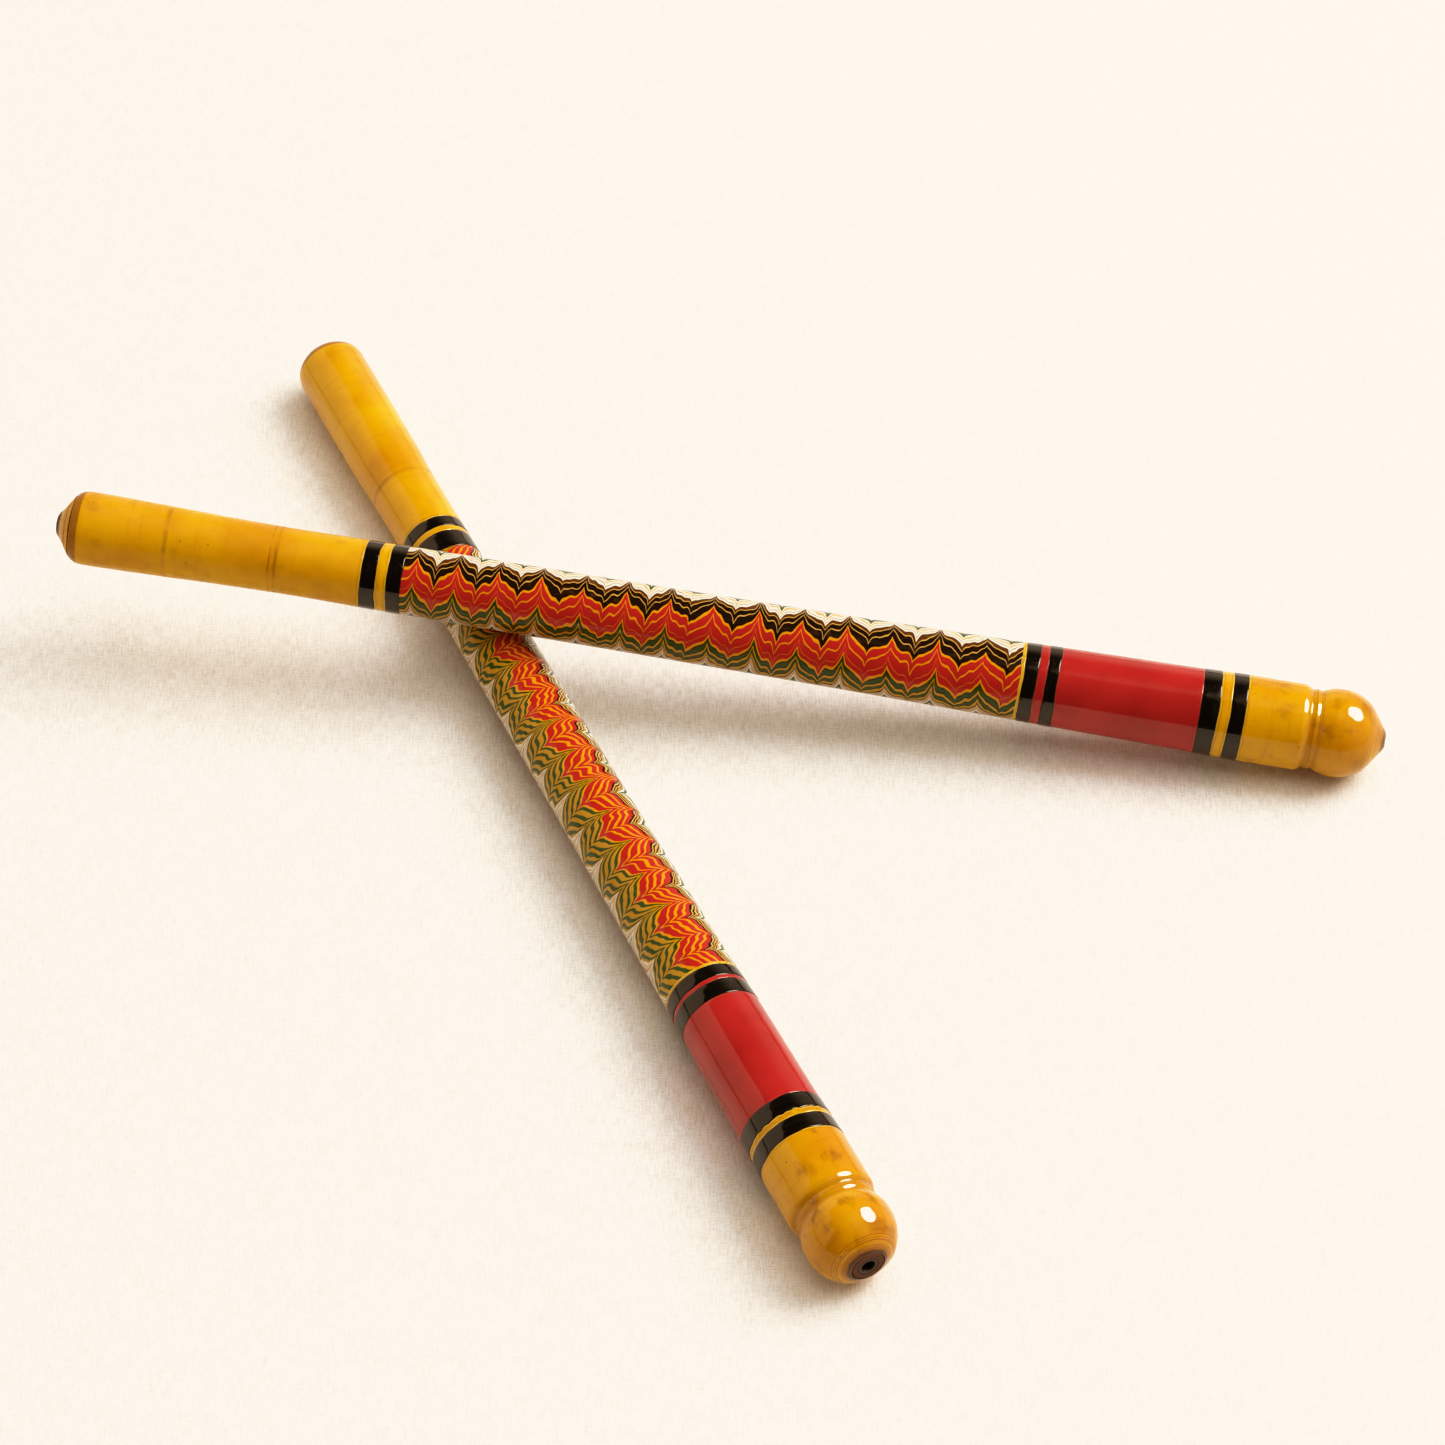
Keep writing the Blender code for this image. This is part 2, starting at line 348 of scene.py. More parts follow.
def sleeve_rows(start, end, start_edge, end_edge, skin, proud=0.0):
    """Rows of a closed band of lac: its outer side from start to end, then its inner side."""
    angle = np.arange(SIDES) * TURN / SIDES
    near, far = start_edge(angle), end_edge(angle)
    length = end - start
    corner = min(CORNER, length / 5)
    bends = [(corner * (1 - math.cos(a)), corner * (1 - math.sin(a)))
             for a in np.linspace(0, math.pi / 2, 4)]
    count = max(4, int(length / STEP))
    middle = np.linspace(corner, length - corner, count)[1:-1]
    outer = (bends + [(along, 0.0) for along in middle]
             + [(length - along, fall) for along, fall in reversed(bends)])

    def waved(along):
        return (start + along + near * math.exp(-along / RIPPLE_FADE)
                + far * math.exp(-(length - along) / RIPPLE_FADE))

    rows = []
    for along, fall in outer:
        place = waved(along)
        rows.append((place, skin(place) + proud - fall * EDGE_DROP))
    for along in (length, length / 2, 0.0):
        place = waved(along)
        rows.append((place, skin(place) - LAC_DEPTH))
    return rows


def add_piece(name, mesh, matrix, material, node, body):
    """A finished piece in place of its CAD node, riding on its stick's body."""
    mesh.materials.append(material)
    piece = bpy.data.objects.new(name, mesh)
    bpy.context.scene.collection.objects.link(piece)
    piece.matrix_world = matrix
    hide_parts(node)
    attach(piece, body)
    return piece


# ---------------------------------------------------------------- node helpers

class Graph:
    """Builds a material's or a world's nodes from short expressions."""

    def __init__(self, tree):
        self.tree = tree
        tree.nodes.clear()

    def node(self, kind, **settings):
        made = self.tree.nodes.new(kind)
        for key, value in settings.items():
            setattr(made, key, value)
        return made

    def link(self, source, target):
        if isinstance(source, Term):
            source = source.socket
        if isinstance(source, bpy.types.NodeSocket):
            self.tree.links.new(source, target)
        else:
            target.default_value = source

    def maths(self, operation, *values):
        made = self.node("ShaderNodeMath", operation=operation)
        for value, socket in zip(values, made.inputs):
            self.link(value, socket)
        return Term(self, made.outputs[0])

    def mapped(self, value, low, high, out_low=0.0, out_high=1.0, smooth=True):
        made = self.node("ShaderNodeMapRange",
                         interpolation_type="SMOOTHSTEP" if smooth else "LINEAR")
        for socket, setting in zip(made.inputs, (value, low, high, out_low, out_high)):
            self.link(setting, socket)
        return Term(self, made.outputs[0])

    def window(self, value, start, full_from, full_to, end):
        """1 between the middle two limits, fading to 0 at the outer two."""
        return self.mapped(value, start, full_from) * self.mapped(value, end, full_to)

    def vector(self, x, y, z):
        made = self.node("ShaderNodeCombineXYZ")
        for value, socket in zip((x, y, z), made.inputs):
            self.link(value, socket)
        return made.outputs[0]

    def noise(self, vector, scale, detail=2.0, roughness=0.5, dimensions="3D"):
        made = self.node("ShaderNodeTexNoise", noise_dimensions=dimensions)
        self.link(vector, made.inputs["W" if dimensions == "1D" else "Vector"])
        made.inputs["Scale"].default_value = scale
        made.inputs["Detail"].default_value = detail
        made.inputs["Roughness"].default_value = roughness
        return Term(self, made.outputs[0])

    def mix(self, factor, first, second):
        made = self.node("ShaderNodeMix", data_type="RGBA")
        for socket, value in ((made.inputs[0], factor), (made.inputs[6], first),
                              (made.inputs[7], second)):
            if isinstance(value, tuple) and len(value) == 3:
                value = (*value, 1)
            self.link(value, socket)
        return made.outputs[2]

    def ramp(self, value, stops, constant=False):
        made = self.node("ShaderNodeValToRGB")
        ramp = made.color_ramp
        ramp.interpolation = "CONSTANT" if constant else "LINEAR"
        while len(ramp.elements) < len(stops):
            ramp.elements.new(1.0)
        for element, (place, colour) in zip(ramp.elements, stops):
            element.position = place
            element.color = (*colour, 1)
        self.link(value, made.inputs[0])
        return made.outputs[0]

    def specks(self, vector, scale, radius, share):
        """One small round speck in a share of the cells of a grid, as 0 to 1."""
        cells = self.node("ShaderNodeTexVoronoi", feature="F1")
        self.link(vector, cells.inputs["Vector"])
        cells.inputs["Scale"].default_value = scale
        kept = self.node("ShaderNodeSeparateColor")
        self.link(cells.outputs["Color"], kept.inputs[0])
        chosen = self.maths("LESS_THAN", kept.outputs[0], share)
        near = self.mapped(cells.outputs["Distance"], radius, radius * 0.5)
        return chosen * near

    def bump(self, height, strength, distance=MM):
        made = self.node("ShaderNodeBump")
        made.inputs["Strength"].default_value = strength
        made.inputs["Distance"].default_value = distance
        self.link(height, made.inputs["Height"])
        return made.outputs[0]


class Term:
    """A number in a node tree, which can be added and multiplied."""

    def __init__(self, graph, socket):
        self.graph = graph
        self.socket = socket

    def __add__(self, other):
        return self.graph.maths("ADD", self, other)

    def __sub__(self, other):
        return self.graph.maths("SUBTRACT", self, other)

    def __mul__(self, other):
        return self.graph.maths("MULTIPLY", self, other)

    __radd__ = __add__
    __rmul__ = __mul__


class Surface(Graph):
    """A material with a Principled shader, and the place and angle on its stick, in millimetres."""

    def __init__(self, name):
        self.material = bpy.data.materials.new(name)
        self.material.use_nodes = True
        super().__init__(self.material.node_tree)
        self.shader = self.node("ShaderNodeBsdfPrincipled")
        output = self.node("ShaderNodeOutputMaterial")
        self.link(self.shader.outputs[0], output.inputs[0])
        coordinates = self.node("ShaderNodeTexCoord")
        scaled = self.node("ShaderNodeVectorMath", operation="SCALE")
        self.link(coordinates.outputs["Object"], scaled.inputs[0])
        scaled.inputs["Scale"].default_value = 1 / MM
        self.point = scaled.outputs[0]
        parts = self.node("ShaderNodeSeparateXYZ")
        self.link(self.point, parts.inputs[0])
        self.x, self.y, self.place = (Term(self, socket) for socket in parts.outputs)

    def angle(self):
        return self.maths("ARCTAN2", self.y, self.x)

    def round_and_along(self, across, along):
        """A point squeezed differently across the stick and along it."""
        return self.vector(self.x * across, self.y * across, self.place * along)

    def put(self, **values):
        for key, value in values.items():
            self.link(value, self.shader.inputs[key.replace("_", " ")])


def gloss(surface, height_terms, rough_low=0.04, rough_high=0.09, mirror=0.34):
    """The polish that every lac shares: fine lathe ridges, a soft wave and uneven gloss."""
    ridges = surface.noise(surface.round_and_along(0.05, 1.0), 2.6, 3.0, 0.6)
    wave = surface.noise(surface.point, 0.11, 1.0)
    wear = surface.noise(surface.round_and_along(0.6, 0.25), 0.5, 3.0)
    height = ridges * 0.006 + wave * 0.14
    for term in height_terms:
        height = height + term
    surface.put(Normal=surface.bump(height, 0.55),
                Roughness=surface.mapped(wear, 0.35, 0.75, rough_low, rough_high))
    surface.shader.inputs["Specular IOR Level"].default_value = mirror


def rim_line(s, colour, line, width, share):
    """A line of another colour along a band's cut ends, fainter here and there."""
    rim = s.node("ShaderNodeAttribute", attribute_name="rim")
    rim = Term(s, rim.outputs["Fac"])
    unsure = s.noise(s.round_and_along(0.5, 0.5), 0.6, 2.0)
    return s.mix(s.mapped(rim, width, width * 0.5) * s.mapped(unsure, 0.3, 0.6) * share,
                 colour, line)


def yellow_lac(name, seed, smoky, burns=(), wear=(0.04, 0.09), mirror=0.34, tip=None):
    """Yellow lac. Burns are (place, width) of dark turning marks, on part of the way round.

    With the place of the tip given, the neck, the end of the ball and the tip's rim are scorched.
    """
    s = Surface(name)
    offset = float(seed)
    shifted = s.vector(s.x + offset, s.y, s.place)
    tone = s.noise(shifted, 0.045, 3.0)
    streaks = s.noise(s.round_and_along(0.10, 1.0), 0.55, 4.0, 0.65)
    fine = s.noise(s.round_and_along(0.06, 1.0), 3.2, 2.0)
    colour = s.mix(s.mapped(tone, 0.35, 0.75) * 0.8 + smoky * 0.5, YELLOW, YELLOW_DEEP)
    colour = s.mix(s.mapped(streaks, 0.52, 0.80) * 0.35, colour, YELLOW_STREAK)
    colour = s.mix(s.mapped(fine, 0.55, 0.85) * 0.22, colour, YELLOW_BRIGHT)
    cloud = s.noise(s.round_and_along(1.0, 0.8), 0.16, 5.0, 0.62)
    colour = s.mix(s.mapped(cloud, 0.53, 0.76) * smoky, colour, SMOKE)
    for place, width in burns:
        off = s.maths("ABSOLUTE", s.place + (tone - 0.5) * 2.0 - place)
        patchy = s.mapped(s.noise(s.vector(s.x + place, s.y, 0.0), 0.10, 2.0), 0.42, 0.62)
        thin = s.mapped(s.noise(s.place + place, 2.4, 2.0, 0.6, "1D"), 0.42, 0.60)
        mark = s.mapped(off, width, width * 0.3) * patchy * (thin * 0.6 + 0.4)
        colour = s.mix(mark * 0.80, colour, BURN)
    if tip:
        middle, half = (NECK_START + NECK_END) / 2, (NECK_END - NECK_START) / 2
        off = s.maths("ABSOLUTE", s.place - middle)
        lines = s.mapped(s.noise(s.place, 1.9, 2.0, 0.6, "1D"), 0.40, 0.62)
        neck = s.mapped(off, half * 1.25, half * 0.5) * (lines * 0.7 + 0.3)
        colour = s.mix(neck * 0.55, colour, BURN)
        patchy = s.mapped(s.noise(s.vector(s.x, s.y + offset, 0.0), 0.09, 2.0), 0.38, 0.60)
        ring = s.window(s.place, BALL_RING_START, BALL_RING_START + 1.2, BALL_RING_END,
                        BALL_RING_END + 0.8)
        colour = s.mix(ring * patchy * (lines * 0.4 + 0.6) * 0.60, colour, SMOKE)
        cone = s.mapped(s.place, BALL_RING_END - 0.5, BALL_RING_END + 0.5)
        turns = s.mapped(s.noise(s.place, 3.1, 2.0, 0.6, "1D"), 0.52, 0.62)
        colour = s.mix(cone * turns * 0.70, colour, BURN)
    dots = s.specks(shifted, 0.22, 0.075, 0.36)
    crumbs = s.specks(s.vector(s.x, s.y + offset, s.place), 0.55, 0.15, 0.12)
    colour = s.mix(dots * 0.85, colour, SPECK)
    colour = s.mix(crumbs * 0.55, colour, CRUMB)
    colour = rim_line(s, colour, BURN, 1.05, 0.8)
    colour = rim_line(s, colour, YELLOW, 0.80, 0.8)
    # Outermost comes a painted highlight along the rounded cut ends.
    colour = rim_line(s, colour, EDGE_HIGHLIGHT_PAINTED, 0.42, 0.85)
    colour = s.mix(s.mapped(s.place, 0.75, 0.35) * 0.8, colour, BURN)
    if tip:
        frayed = s.place + (cloud - 0.5) * 0.7
        colour = s.mix(s.mapped(frayed, tip - 1.6, tip - 0.7) * 0.65, colour, BURN)
        colour = s.mix(s.mapped(frayed, tip - 0.65, tip - 0.40) * 0.92, colour, CHAR)
    s.link(colour, s.shader.inputs["Base Color"])
    gloss(s, [dots * -0.03], *wear, mirror)
    return s.material


def red_lac(name, seed):
    s = Surface(name)
    offset = float(seed)
    tone = s.noise(s.vector(s.x + offset, s.y, s.place), 0.06, 3.0)
    streaks = s.noise(s.round_and_along(0.07, 1.0), 1.1, 4.0, 0.65)
    colour = s.mix(s.mapped(tone, 0.3, 0.75), CRIMSON, CRIMSON_DEEP)
    colour = s.mix(s.mapped(streaks, 0.50, 0.85) * 0.35, colour, CRIMSON_STREAK)
    hairs = s.specks(s.round_and_along(1.0, 0.16), 0.30, 0.045, 0.22)
    scuffs = s.specks(s.round_and_along(0.16, 1.0), 0.35, 0.035, 0.25)
    colour = s.mix(scuffs * 0.45, colour, SCUFF)
    # A painted highlight along the rounded cut ends.
    colour = rim_line(s, colour, CRIMSON_EDGE_HIGHLIGHT, 0.40, 0.6)
    s.link(colour, s.shader.inputs["Base Color"])
    gloss(s, [hairs * -0.02, scuffs * -0.02])
    return s.material


def black_lac(name, seed):
    s = Surface(name)
    offset = float(seed)
    tone = s.noise(s.round_and_along(0.2, 1.0), 0.9, 4.0, 0.6)
    colour = s.mix(s.mapped(tone, 0.45, 0.8), BLACK, SOOT)
    dust = s.specks(s.vector(s.x + offset, s.y, s.place), 0.42, 0.07, 0.14)
    colour = s.mix(dust * 0.6, colour, DUST)
    s.link(colour, s.shader.inputs["Base Color"])
    pits = s.noise(s.point, 1.5, 3.0, 0.6)
    gloss(s, [s.mapped(pits, 0.62, 0.74) * 0.035], rough_low=0.04, rough_high=0.10, mirror=0.42)
    return s.material


def marbled_lac(name, stick):
    """Combed lac: stripes laid along the stick, then pulled round it by tines, to and fro."""
    s = Surface(name)
    seed = float(stick["seed"])
    drift = s.noise(s.vector(s.x + seed, s.y, s.place), 0.10, 2.0)
    spacing = stick["tine_spacing"]
    run = s.place - stick["first_tine"] + (drift - 0.5) * DRIFT
    count = run * (1 / spacing) - run * run * stick["tine_slowing"]

    def tine(shift, reach, fall, key):
        """The lac that tines at whole numbers of count, plus shift, drag with them."""
        moved = count + (0.5 - shift)
        number = s.maths("FLOOR", moved)
        off = s.maths("ABSOLUTE", moved - number - 0.5)
        luck = s.node("ShaderNodeTexWhiteNoise", noise_dimensions="1D")
        s.link(number + key, luck.inputs["W"])
        strength = s.mapped(luck.outputs["Value"], 0.0, 1.0, *TINE_LUCK, smooth=False)
        drag = s.maths("EXPONENT", off * (-spacing / fall))
        return drag * strength * reach

    turn = s.angle() * (-STRIPE_PERIOD / math.pi) + (
        STRIPE_START + stick["facing"] * STRIPE_PERIOD / math.pi)
    bias = s.maths("COSINE", (turn - 3.0) * (math.pi / STRIPE_PERIOD)) * stick["pull_bias"]
    pull = tine(0.0, stick["pull"], PULL_FALL, seed) * (bias + 1.0)
    push = tine(0.5, stick["push"], PUSH_FALL, seed + 50.0)
    ripple = s.noise(s.place + seed, 0.42, 0.0, 0.5, "1D")
    grain = s.noise(s.round_and_along(1.0, 0.5), 0.35, 1.0, 0.5)
    swirl = s.noise(s.vector(s.x, s.y + seed, s.place * 0.45), 0.16, 1.0)
    moved = (pull - push + (ripple - 0.5) * RIPPLE + (grain - 0.5) * GRAIN
             + (swirl - 0.5) * SWIRL)
    phase = s.maths("WRAP", (turn - moved) * (1 / STRIPE_PERIOD), 1.0, 0.0)
    stops = [(start / STRIPE_PERIOD, INK[ink]) for start, ink in stick["stripes"]]
    colour = s.ramp(phase, stops, constant=True)
    blotch = s.noise(s.point, 0.35, 3.0)
    colour = s.mix(s.mapped(blotch, 0.55, 0.85) * 0.30, colour, SMOKE)
    s.link(colour, s.shader.inputs["Base Color"])
    gloss(s, [], rough_low=0.06, rough_high=0.12, mirror=0.24)
    return s.material


def bare_wood(name, seed, tip_place, tip_radius, hole_radius):
    """Bare turned wood: ringed bands on the tail cone, one of them a painted highlight, and dark
    end grain round the tip's hole, whose inside is painted shade.
    """
    s = Surface(name)
    radius = s.maths("SQRT", s.x * s.x + s.y * s.y)
    fibre = s.noise(s.vector(s.x, s.y, s.place * 0.15), 1.3, 4.0, 0.6)
    wander = (s.noise(s.point, 0.4, 2.0) - 0.5) * 0.7
    band = s.mapped(s.place + wander, -NUB_LENGTH, TAIL_BANDS_END, smooth=False)
    # The tail cone's ringed bands, with a painted highlight on one ring.
    tail = s.ramp(band, TAIL_BANDS_AND_HIGHLIGHT)
    tail = s.mix(s.mapped(fibre, 0.5, 0.8) * 0.4, tail, WOOD_FIBRE)
    rim = s.mapped(radius, hole_radius, tip_radius, smooth=False)
    end = s.ramp(rim, TIP_RINGS)
    pores = s.specks(s.vector(s.x + seed, s.y, s.place), 2.4, 0.22, 0.5)
    end = s.mix(pores * 0.6, end, PORE)
    # Deeper than its mouth, the hole is painted near-black: painted shade.
    outside = s.mapped(s.place, tip_place - MOUTH_END, tip_place - MOUTH_START)
    end = s.mix(outside, HOLE_PAINTED_SHADE, end)
    at_tip = s.maths("GREATER_THAN", s.place, tip_place * 0.5)
    colour = s.mix(at_tip, tail, end)
    s.link(colour, s.shader.inputs["Base Color"])
    rings = s.noise(s.place, 2.2, 2.0, 0.6, "1D")
    s.put(Normal=s.bump(rings * 0.12 + fibre * 0.05 + pores * -0.06, 0.7),
          Roughness=s.mapped(fibre, 0.3, 0.8, 0.45, 0.7))
    s.shader.inputs["Specular IOR Level"].default_value = 0.2
    return s.material


# ---------------------------------------------------------------- the two sticks

def build_stick(stick, settings):
    """All pieces of a stick. Its bands meet edge to edge, halfway across the CAD's gaps."""
    rng = np.random.default_rng(settings["seed"])
    matrix = stick_matrix(stick)
    to_stick = matrix.inverted()
    body = f"{stick}_stick"
    nodes = {name[len(stick) + 1:]: node for name, node in frame["nodes"].items()
             if name.startswith(stick)}
    lines = {name: outer_line(node, to_stick) for name, node in nodes.items()}
    core = lines.pop("wood_core")
    order = sorted(lines, key=lambda name: lines[name][0][0])
    flat = [point for name in order if not name.startswith("black_ring") for point in lines[name]]
    skin = smooth_line(sorted(set(flat)))

    seed = settings["seed"]
    materials = {
        "handle_lac": yellow_lac(f"{stick}_handle_yellow", seed, settings["handle_smoke"],
                                 settings["burns"], settings["handle_wear"],
                                 settings["handle_mirror"]),
        "yellow_lac": yellow_lac(f"{stick}_yellow", seed, 0.16),
        "knob_lac": yellow_lac(f"{stick}_knob_yellow", seed + 3, settings["knob_smoke"],
                               tip=lines["knob_lac"][-1][0]),
        "red_lac": red_lac(f"{stick}_red", seed),
        "black_lac": black_lac(f"{stick}_black", seed),
        "marbled_lac": marbled_lac(f"{stick}_marbled", settings),
    }
    edges = [straight_edge]
    borders = [lines[order[0]][0][0]]
    for here, there in zip(order, order[1:]):
        borders.append((lines[here][-1][0] + lines[there][0][0]) / 2)
        edges.append(wavy_edge(rng, here == settings["ragged"]))
    for index, name in enumerate(order):
        slot = SLOTS.get(name, "black_lac")
        material = materials.get(name, materials[slot])
        if name == "knob_lac":
            rows = knob_rows(borders[index], edges[index], lines[name], skin)
        else:
            proud = 0.0
            if slot == "black_lac":
                proud = max(radius - float(skin(place)) for place, radius in lines[name])
            rows = sleeve_rows(borders[index], borders[index + 1], edges[index],
                               edges[index + 1], skin, proud)
        mesh = turned_mesh(f"{stick}_{name}", rows, closed=True)
        add_piece(f"{stick}_{name}_turned", mesh, matrix, material, f"{stick}_{name}", body)
    add_core(stick, seed, core, matrix, nodes["wood_core"], to_stick, body)


def knob_rows(start, start_edge, line, skin):
    """Rows of the knob's lac: collar, neck, ball and cone, then back along its inner side."""
    angle = np.arange(SIDES) * TURN / SIDES
    near = start_edge(angle)
    rim_place, rim_radius = line[-1]
    # The collar ends at the last point before the radius falls to the neck.
    collar_end = next(here[0] for here, there in zip(line, line[1:]) if there[1] < here[1] - 0.1)
    along = np.concatenate([
        np.array([0.0, 0.02, 0.07, 0.15, 0.3]),
        np.linspace(0.6, collar_end - start - 0.4, 16),
        np.arange(collar_end - start, rim_place - start - KNOB_STEP / 2, KNOB_STEP)])
    rows = []
    for run in along:
        place = start + run + near * math.exp(-run / RIPPLE_FADE)
        fall = 0.11 * max(0.0, 1 - run / 0.3) ** 2
        rows.append((place, skin(place) - fall))
    rows.append((rim_place, rim_radius))
    inner_rim = rim_radius * 0.98
    for place in np.linspace(rim_place - 1.2, start, 40):
        depth = LAC_DEPTH * 1.6 if place > rim_place - 4.0 else LAC_DEPTH
        radius = max(inner_rim, float(skin(place)) - depth)
        rows.append((place + near * math.exp(-(place - start) / RIPPLE_FADE), radius))
    return rows


def add_core(stick, seed, core, matrix, node, to_stick, body):
    """The wood: blind centre hole, dished tip, hidden shaft, ringed tail cone and nub."""
    corners = [to_stick @ vertex.co / MM for vertex in node.data.vertices]
    tip_place = max(corner.z for corner in corners)
    at_tip = [math.hypot(c.x, c.y) for c in corners if c.z > tip_place - 0.01]
    tip_radius, hole_radius = max(at_tip), min(at_tip)
    hole_floor = min(c.z for c in corners
                     if c.z > tip_place / 2 and math.hypot(c.x, c.y) < hole_radius + 0.01)
    rows = [(hole_floor, hole_radius * 0.2), (hole_floor, hole_radius * 0.9),
            (tip_place - MOUTH_END, hole_radius * 0.92), (tip_place - MOUTH_START, hole_radius)]
    for share in np.linspace(0, 1, 9):
        radius = hole_radius * 1.04 + (tip_radius - 0.12 - hole_radius * 1.04) * share
        groove = 0.035 * math.cos(share * 5 * TURN)
        rows.append((tip_place - 0.10 + 0.05 * share - groove * 0.5, radius))
    rows.append((tip_place - 0.16, tip_radius))
    stub = core[-2][0]      # where the lac stops and the tip's narrow cylinder starts
    rows.append((stub, tip_radius))
    rows += reversed([point for point in core if -1.0 <= point[0] < stub])
    tail = [point for point in core if point[0] < -1.0]
    cone = smooth_line(tail)
    nub_place, nub_radius = tail[0]
    for place in np.linspace(tail[-1][0] - 0.02, nub_place + 0.35, 22):
        groove = 0.05 * math.sin((place - nub_place) * 4.1)
        rows.append((place, float(cone(place)) + groove))
    rows.append((nub_place + 0.12, nub_radius - 0.05))
    rows.append((nub_place + 0.01, nub_radius - 0.35))
    rows.append((nub_place + 0.06, nub_radius * 0.5))
    rows.reverse()
    mesh = turned_mesh(f"{stick}_wood_core", rows, cap_start=True, cap_end=True)
    material = bare_wood(f"{stick}_wood", seed, tip_place, tip_radius, hole_radius)
    add_piece(f"{stick}_wood_core_turned", mesh, matrix, material, f"{stick}_wood_core", body)


for stick_name, stick_settings in STICKS.items():
    build_stick(stick_name, stick_settings)


# ---------------------------------------------------------------- floor, lights and camera

def add_floor():
    """A large cloth-covered table top, with a fine plain weave."""
    mesh = bpy.data.meshes.new("floor")
    wide = FLOOR_CELLS + 1
    line = np.linspace(-FLOOR_SIZE / 2, FLOOR_SIZE / 2, wide)
    points = [(x, y, 0.0) for y in line for x in line]
    corners = [row * wide + i for row in range(FLOOR_CELLS) for i in range(FLOOR_CELLS)]
    faces = [(here, here + 1, here + wide + 1, here + wide) for here in corners]
    mesh.from_pydata(points, [], faces)
    floor = bpy.data.objects.new("floor", mesh)
    bpy.context.scene.collection.objects.link(floor)
    s = Surface("cream_cloth")
    warp = s.noise(s.vector(s.x * 1.9, s.y * 0.22, 0.0), 1.0, 2.0, 0.6)
    weft = s.noise(s.vector(s.x * 0.30, s.y * 2.1, 3.0), 1.0, 2.0, 0.6)
    slub = s.noise(s.vector(s.x * 0.8, s.y * 0.5, 7.0), 0.35, 3.0)
    fibre = s.noise(s.point, 2.6, 2.0, 0.6)
    height = warp * 0.36 + weft * 0.28 + fibre * 0.36
    tint = s.mapped(height + (slub - 0.5) * 0.15, 0.34, 0.62)
    colour = s.mix(tint, CLOTH_THREAD, CLOTH)
    s.link(colour, s.shader.inputs["Base Color"])
    s.put(Normal=s.bump(height, 0.55, 0.3 * MM), Roughness=0.95)
    s.shader.inputs["Specular IOR Level"].default_value = 0.15
    mesh.materials.append(s.material)


def add_light(name, direction, distance, size, power, colour, lights_surfaces, shows_in_gloss):
    """A round soft box, aimed at the sticks. No two stand at one distance, or one hides another."""
    light = bpy.data.lights.new(name, "AREA")
    light.shape = "DISK"
    light.size = size
    light.energy = power
    light.color = colour
    lamp = bpy.data.objects.new(name, light)
    bpy.context.scene.collection.objects.link(lamp)
    lamp.location = direction.normalized() * distance
    lamp.rotation_euler = (-direction).to_track_quat("-Z", "Y").to_euler()
    lamp.visible_camera = False
    lamp.visible_diffuse = lights_surfaces
    lamp.visible_glossy = shows_in_gloss
    return lamp


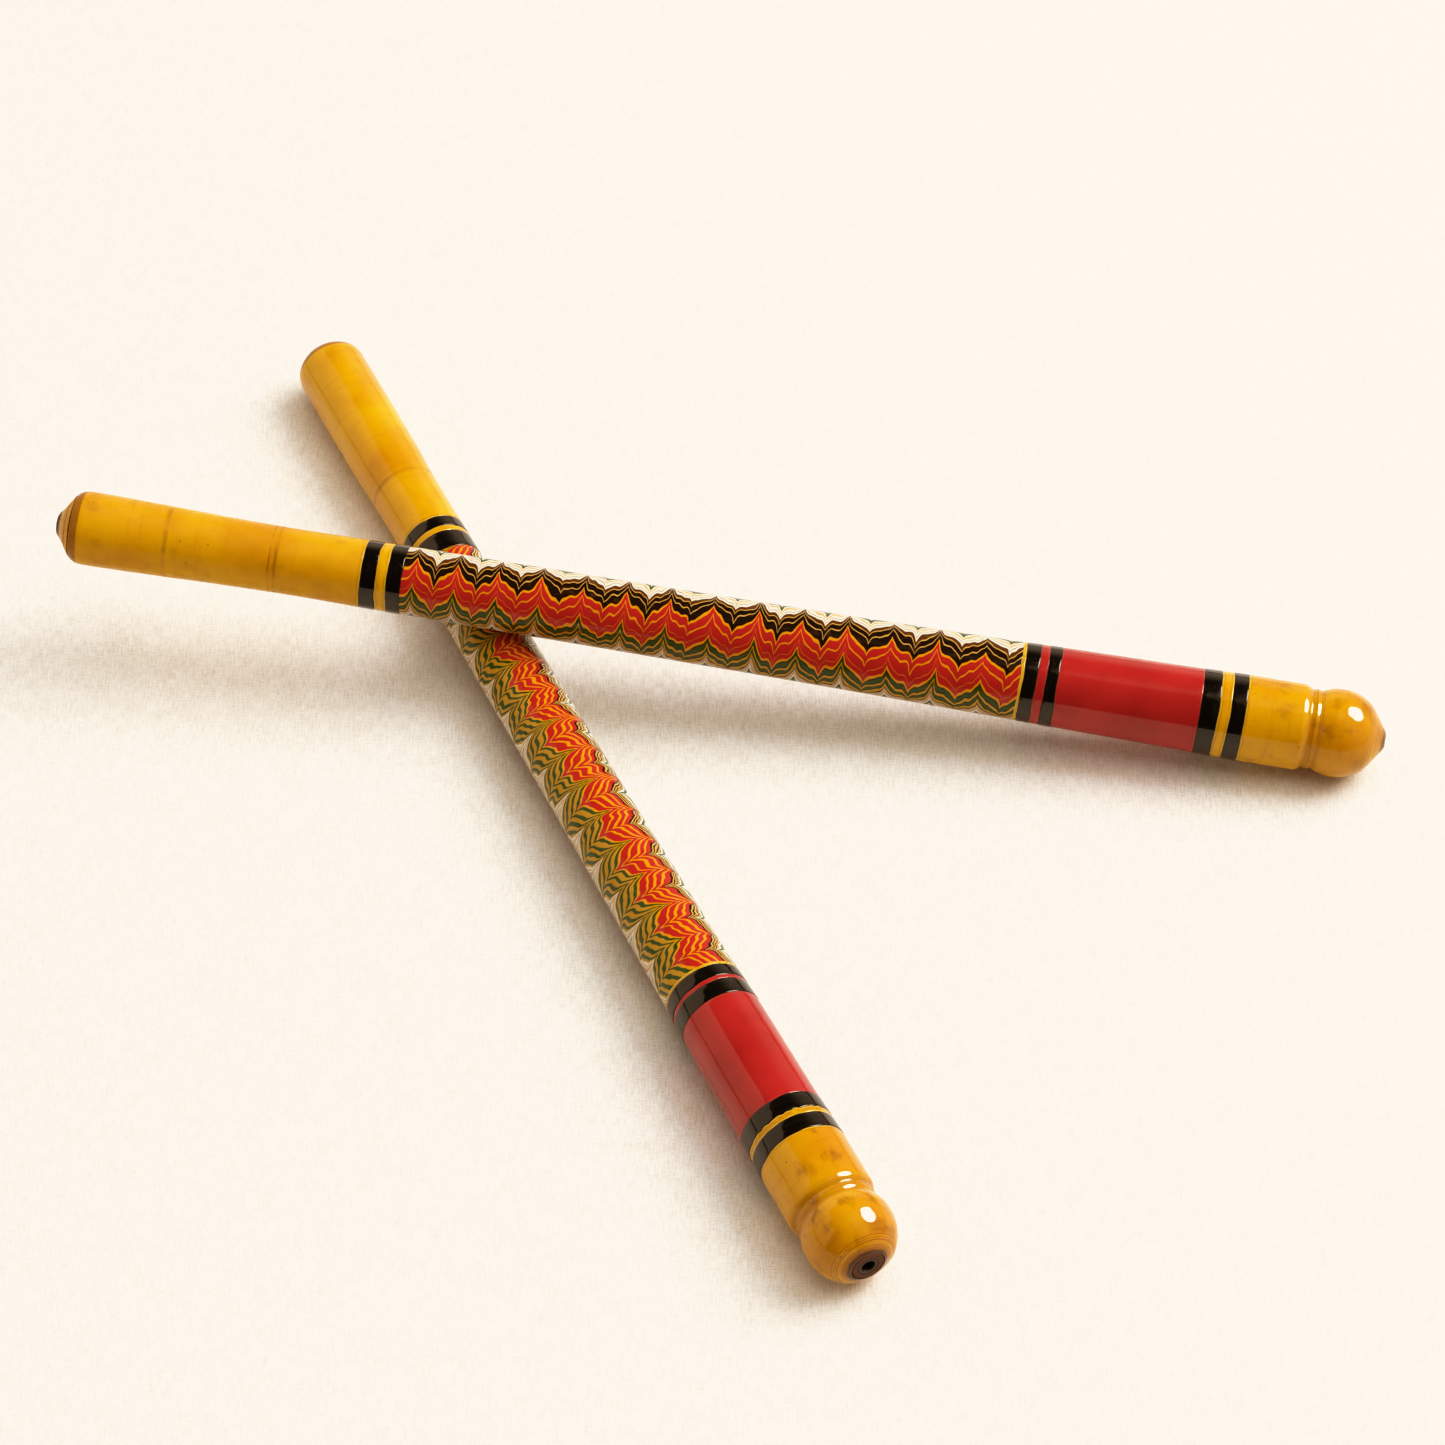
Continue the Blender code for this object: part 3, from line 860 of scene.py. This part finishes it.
def add_surroundings():
    """A dim room with a panel on the left, a glow on the right and a backdrop fading upwards.

    The camera itself sees plain white round the floor.
    """
    world = bpy.data.worlds.new("studio")
    world.use_nodes = True
    bpy.context.scene.world = world
    g = Graph(world.node_tree)
    coordinates = g.node("ShaderNodeTexCoord")
    parts = g.node("ShaderNodeSeparateXYZ")
    g.link(coordinates.outputs["Generated"], parts.inputs[0])
    x, y, z = (Term(g, socket) for socket in parts.outputs)
    heading = g.maths("ARCTAN2", y, x) * (180 / math.pi)
    turned = g.maths("WRAP", heading, 300.0, -60.0)
    above = g.mapped(z, 0.035, 0.05)
    panel = g.window(turned, *PANEL_HEADINGS) * g.mapped(z, 0.715, 0.70) * above
    backdrop = g.window(turned, *BACKDROP_HEADINGS) * g.mapped(z, 0.74, 0.30) * above
    right = g.window(turned, *RIGHT_HEADINGS) * above
    glow = (panel * PANEL_GLOW + backdrop * BACKDROP_GLOW + right * RIGHT_GLOW
            + above * ROOM_GLOW)
    seen = g.node("ShaderNodeLightPath")
    room = g.node("ShaderNodeBackground")
    room.inputs["Color"].default_value = ROOM_COLOUR
    g.link(glow, room.inputs["Strength"])
    sky = g.node("ShaderNodeBackground")
    sky.inputs["Strength"].default_value = FILM_TOP
    sky.inputs["Color"].default_value = (1.0, 1.0, 1.0, 1)
    both = g.node("ShaderNodeMixShader")
    g.link(seen.outputs["Is Camera Ray"], both.inputs[0])
    g.link(room.outputs[0], both.inputs[1])
    g.link(sky.outputs[0], both.inputs[2])
    output = g.node("ShaderNodeOutputWorld")
    g.link(both.outputs[0], output.inputs[0])


def add_camera():
    data = bpy.data.cameras.new("camera")
    data.sensor_width = 36.0
    data.lens = CAMERA_LENS
    data.clip_end = 20.0
    camera = bpy.data.objects.new("camera", data)
    bpy.context.scene.collection.objects.link(camera)
    camera.location = CAMERA_PLACE
    aim = CAMERA_AIM - camera.location
    level = aim.to_track_quat("-Z", "Y").to_matrix()
    camera.rotation_euler = (level @ Matrix.Rotation(CAMERA_ROLL, 3, "Z")).to_euler()
    bpy.context.scene.camera = camera


def set_film():
    """A plain transform, with warm shadows and a soft shoulder into cream."""
    view = bpy.context.scene.view_settings
    view.view_transform = "Standard"
    view.use_curve_mapping = True
    curves = view.curve_mapping
    curves.white_level = (FILM_TOP, FILM_TOP, FILM_TOP)
    for curve, white, body in zip(curves.curves, WHITE, FILM_BODY):
        curve.points[0].location = (0, 0)
        curve.points[-1].location = (1, white)
        for light, shown in body + FILM_SHOULDER:
            curve.points.new(light / FILM_TOP, shown * white)
    curves.update()


add_floor()
add_light("key", KEY_DIRECTION, distance=4.0, size=2.90, power=150.0,
          colour=(1.0, 1.0, 1.0), lights_surfaces=True, shows_in_gloss=False)
add_light("fill", FILL_DIRECTION, distance=4.2, size=6.3, power=165.0,
          colour=(1.0, 0.975, 0.935), lights_surfaces=True, shows_in_gloss=False)
add_light("glint", KEY_DIRECTION, distance=3.6, size=2.15, power=470.0,
          colour=(1.0, 0.985, 0.95), lights_surfaces=False, shows_in_gloss=True)
add_surroundings()
add_camera()
set_film()
